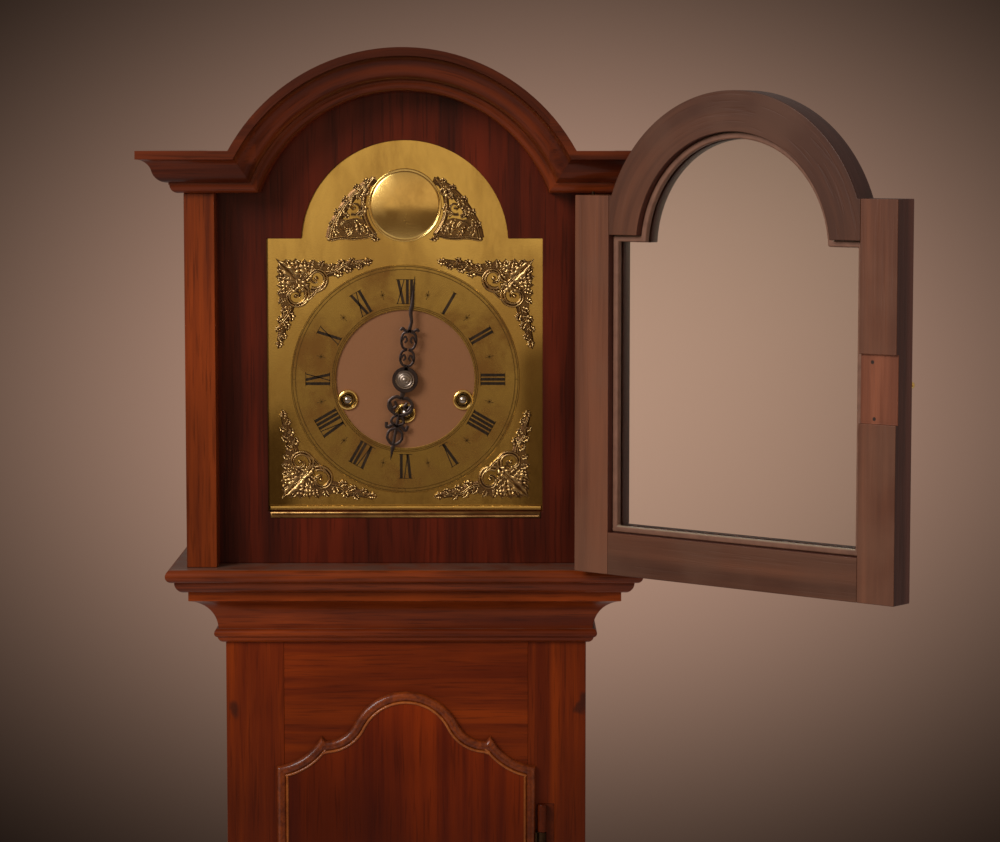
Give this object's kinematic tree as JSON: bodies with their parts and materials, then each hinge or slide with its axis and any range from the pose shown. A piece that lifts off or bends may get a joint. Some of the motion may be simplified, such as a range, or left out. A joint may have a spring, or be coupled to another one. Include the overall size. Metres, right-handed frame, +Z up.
{
  "type": "granddaughter clock",
  "caption": "Small mahogany longcase clock with a break-arch hood, glazed hood door standing open, brass dial, pendulum and lipped shaped-top trunk door.",
  "frame": {"origin": "middle of the plinth's footprint, on the floor", "axes": "+X to the right seen from the front, front faces -Y, +Z up"},
  "size_m": [0.5323, 0.3733, 1.5],
  "materials": {
    "mahogany": "french polished, dark red-brown",
    "flame_mahogany": "french polished flame veneer",
    "door_mahogany": "polished outside, dull inside",
    "pine": "bare, darkened by age",
    "brass_fittings": "aged, lightly polished",
    "glass": "clear",
    "putty": "dry, matt",
    "dial_brass": "brushed and lacquered",
    "chapter_brass": "lacquered, with black numerals",
    "cast_brass": "cast, aged in the hollows",
    "blued_steel": "dark blued",
    "movement_brass": "brushed",
    "steel": "bright",
    "iron": "black painted",
    "bob_brass": "polished"
  },
  "bodies": {
    "case": {"bottom_board": "pine", "plinth": "mahogany", "base_front_board": "mahogany", "base_sides": "mahogany", "waist_moulding": "mahogany", "trunk_sides": "mahogany", "trunk_stiles": "mahogany", "trunk_rails": "mahogany", "throat_moulding": "mahogany", "backboard": "pine", "seatboard": "pine", "trunk_hinge_plates": "brass_fittings", "dial_plate": "dial_brass", "chapter_ring": "chapter_brass", "winding_hole_rings": "dial_brass", "dial_boss": "dial_brass", "spandrels": "cast_brass", "movement_plates": "movement_brass", "plate_pillars": "movement_brass", "back_plate_cocks": "movement_brass", "gong_block": "iron", "gong_rods": "steel"},
    "hood": {"hood_base_frame": "mahogany", "hood_posts": "mahogany", "hood_sides": "mahogany", "hood_arch_board": "mahogany", "hood_cornice": "mahogany", "dial_mask": "mahogany", "hood_roof": "pine", "hood_pivot_pins": "brass_fittings"},
    "hood_door": {"hood_door_hinge_stile": "door_mahogany", "hood_door_lock_stile": "door_mahogany", "hood_door_bottom_rail": "door_mahogany", "hood_door_arch_head": "door_mahogany", "hood_door_glass": "glass", "hood_door_glazing_bead": "putty", "hood_door_pivot_straps": "brass_fittings", "hood_door_pull": "brass_fittings"},
    "trunk_door": {"trunk_door_panel": "flame_mahogany", "trunk_door_lip": "mahogany", "trunk_door_hinges": "brass_fittings", "trunk_door_lock": "brass_fittings"},
    "centre": {"centre_wheel": "movement_brass", "minute_hand": "blued_steel", "hand_nut": "blued_steel"},
    "hour": {"hour_wheel": "movement_brass", "hour_hand": "blued_steel"},
    "minute_wheel": {"minute_wheel": "movement_brass"},
    "intermediate": {"intermediate_wheel": "movement_brass"},
    "third": {"third_wheel": "movement_brass"},
    "escape": {"escape_wheel": "movement_brass"},
    "going_barrel": {"going_barrel": "movement_brass"},
    "going_arbor": {"going_winding_arbor": "steel"},
    "strike_barrel": {"strike_barrel": "movement_brass"},
    "chime_barrel": {"chime_barrel": "movement_brass"},
    "pendulum": {"pendulum_rod": "steel", "pendulum_bob": "bob_brass"},
    "anchor": {"anchor": "steel"},
    "hammers": {"hammers": "movement_brass"}
  },
  "joints": [
    {"name": "hood_slide", "type": "slide", "parent": "case", "child": "hood", "axis": [0, -1, 0], "range_m": [0, 0.2]},
    {"name": "hood_door_hinge", "type": "hinge", "parent": "hood", "child": "hood_door", "pos_m": [0.1355, -0.0895, 1.262], "axis": [0, 0, 1], "range_deg": [-140, 3]},
    {"name": "trunk_door_hinge", "type": "hinge", "parent": "case", "child": "trunk_door", "pos_m": [0.1, -0.062, 0.74], "axis": [0, 0, 1], "range_deg": [0, 110]},
    {"name": "minute_hand_turn", "type": "hinge", "parent": "case", "child": "centre", "pos_m": [0, 0, 1.2615], "axis": [0, 1, 0], "continuous": true},
    {"name": "hour_hand_turn", "type": "hinge", "parent": "case", "child": "hour", "pos_m": [0, 0, 1.2615], "axis": [0, 1, 0], "continuous": true},
    {"name": "minute_wheel_turn", "type": "hinge", "parent": "case", "child": "minute_wheel", "pos_m": [0.012, 0, 1.2615], "axis": [0, 1, 0], "continuous": true},
    {"name": "intermediate_turn", "type": "hinge", "parent": "case", "child": "intermediate", "pos_m": [0.01865, 0, 1.24983], "axis": [0, 1, 0], "continuous": true},
    {"name": "going_barrel_turn", "type": "hinge", "parent": "case", "child": "going_barrel", "pos_m": [0, 0, 1.2368], "axis": [0, 1, 0], "continuous": true},
    {"name": "third_wheel_turn", "type": "hinge", "parent": "case", "child": "third", "pos_m": [-0.00541, 0, 1.28075], "axis": [0, 1, 0], "continuous": true},
    {"name": "escape_wheel_turn", "type": "hinge", "parent": "case", "child": "escape", "pos_m": [0, 0, 1.2975], "axis": [0, 1, 0], "continuous": true},
    {"name": "going_winding", "type": "hinge", "parent": "case", "child": "going_arbor", "pos_m": [0, 0, 1.2368], "axis": [0, 1, 0], "continuous": true},
    {"name": "strike_winding", "type": "hinge", "parent": "case", "child": "strike_barrel", "pos_m": [-0.042, 0, 1.2464], "axis": [0, 1, 0], "continuous": true},
    {"name": "chime_winding", "type": "hinge", "parent": "case", "child": "chime_barrel", "pos_m": [0.042, 0, 1.2464], "axis": [0, 1, 0], "continuous": true},
    {"name": "pendulum_swing", "type": "hinge", "parent": "case", "child": "pendulum", "pos_m": [0, 0.038, 1.3195], "axis": [0, 1, 0], "range_deg": [-3, 3]},
    {"name": "anchor_rock", "type": "hinge", "parent": "case", "child": "anchor", "pos_m": [0, 0, 1.3195], "axis": [0, 1, 0], "range_deg": [-3, 3]},
    {"name": "hammer_lift", "type": "hinge", "parent": "case", "child": "hammers", "pos_m": [0.07, 0.054, 1.182], "axis": [1, 0, 0], "range_deg": [0, 20]}
  ],
  "couplings": [
    {"joint": "hour_hand_turn", "follows": "minute_hand_turn", "ratio": 0.083333},
    {"joint": "minute_wheel_turn", "follows": "minute_hand_turn", "ratio": -0.33333},
    {"joint": "intermediate_turn", "follows": "minute_hand_turn", "ratio": -0.22222},
    {"joint": "going_barrel_turn", "follows": "minute_hand_turn", "ratio": 0.037037},
    {"joint": "third_wheel_turn", "follows": "minute_hand_turn", "ratio": -9},
    {"joint": "escape_wheel_turn", "follows": "minute_hand_turn", "ratio": 90},
    {"joint": "anchor_rock", "follows": "pendulum_swing", "ratio": 1}
  ]
}
